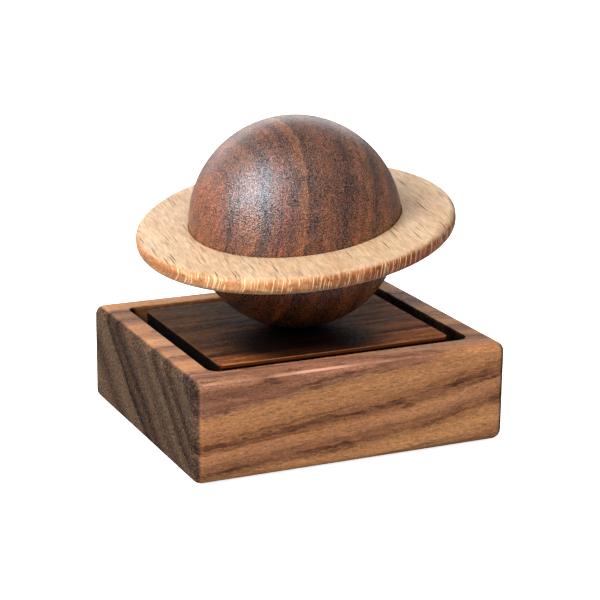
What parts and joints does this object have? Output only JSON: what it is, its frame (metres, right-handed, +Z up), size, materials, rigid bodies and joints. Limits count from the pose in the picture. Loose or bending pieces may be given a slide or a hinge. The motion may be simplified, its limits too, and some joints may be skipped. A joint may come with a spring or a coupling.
{
  "type": "ringed planet desk orrery",
  "caption": "Turned walnut ball with a tilted beech ring, turning on a clockwork music movement hidden in a rectangular walnut base.",
  "frame": {"origin": "centre of the underside of the felt sheet, in the plane the object rests on", "axes": "+Z up along the planet's turning axis, +X to the right along the long front face, +Y to the back"},
  "size_m": [0.1, 0.0963, 0.0954],
  "materials": {
    "walnut_block": "satin oiled walnut, grain left to right",
    "walnut_plate": "satin oiled walnut, darker board",
    "walnut_ball": "satin lacquered dark walnut",
    "beech_ring": "satin beech with short dark flecks",
    "beech_dowel": "plain turned beech",
    "felt": "pressed felt",
    "brass": "turned and milled brass",
    "steel": "ground steel",
    "spring_steel": "blued spring steel",
    "cast_zinc": "die-cast zinc alloy",
    "nylon": "moulded nylon",
    "screw_steel": "nickel-plated steel"
  },
  "bodies": {
    "base": {"base_block": "walnut_block", "felt_sheet": "felt", "top_plate": "walnut_plate", "plate_posts": "beech_dowel", "post_screws": "screw_steel", "shaft_bush": "brass", "bedplate": "cast_zinc", "movement_screws": "screw_steel", "spring_housing": "cast_zinc", "housing_screws": "screw_steel", "mainspring": "spring_steel", "comb": "steel", "comb_screws": "screw_steel", "drum_bracket": "brass", "bracket_screw": "screw_steel", "governor_frame": "cast_zinc", "governor_screws": "screw_steel"},
    "planet": {"planet_ball": "walnut_ball", "planet_ring": "beech_ring", "ball_insert": "brass", "winding_shaft": "steel", "spring_hub": "brass", "great_wheel": "brass", "ratchet_wheel": "steel", "click_stud": "screw_steel", "click_spring": "spring_steel", "retaining_clip": "spring_steel"},
    "click_pawl": {"click": "steel"},
    "drum": {"pin_drum": "brass", "drum_ends": "brass", "drum_arbor": "steel", "drum_pinion": "brass", "drum_gear": "brass"},
    "idler": {"idler_arbor": "steel", "idler_pinion": "steel", "idler_wheel": "nylon"},
    "governor": {"governor_arbor": "steel", "governor_worm": "nylon", "governor_fan": "nylon"}
  },
  "joints": [
    {"name": "planet_turn", "type": "hinge", "parent": "base", "child": "planet", "pos_m": [0, 0, 0.0315], "axis": [0, 0, 1], "continuous": true},
    {"name": "click_rock", "type": "hinge", "parent": "planet", "child": "click_pawl", "pos_m": [-0.0041, 0.0071, 0.011], "axis": [0, 0, 1], "range_deg": [0, 12]},
    {"name": "drum_turn", "type": "hinge", "parent": "base", "child": "drum", "pos_m": [0.024, 0, 0.015], "axis": [1, 0, 0], "continuous": true},
    {"name": "idler_turn", "type": "hinge", "parent": "base", "child": "idler", "pos_m": [0.032, -0.0084, 0.015], "axis": [1, 0, 0], "continuous": true},
    {"name": "governor_turn", "type": "hinge", "parent": "base", "child": "governor", "pos_m": [0.034, -0.0148, 0.015], "axis": [0, 0, 1], "continuous": true}
  ],
  "couplings": [
    {"joint": "drum_turn", "follows": "planet_turn", "ratio": 4},
    {"joint": "idler_turn", "follows": "planet_turn", "ratio": -12},
    {"joint": "governor_turn", "follows": "planet_turn", "ratio": -120}
  ]
}
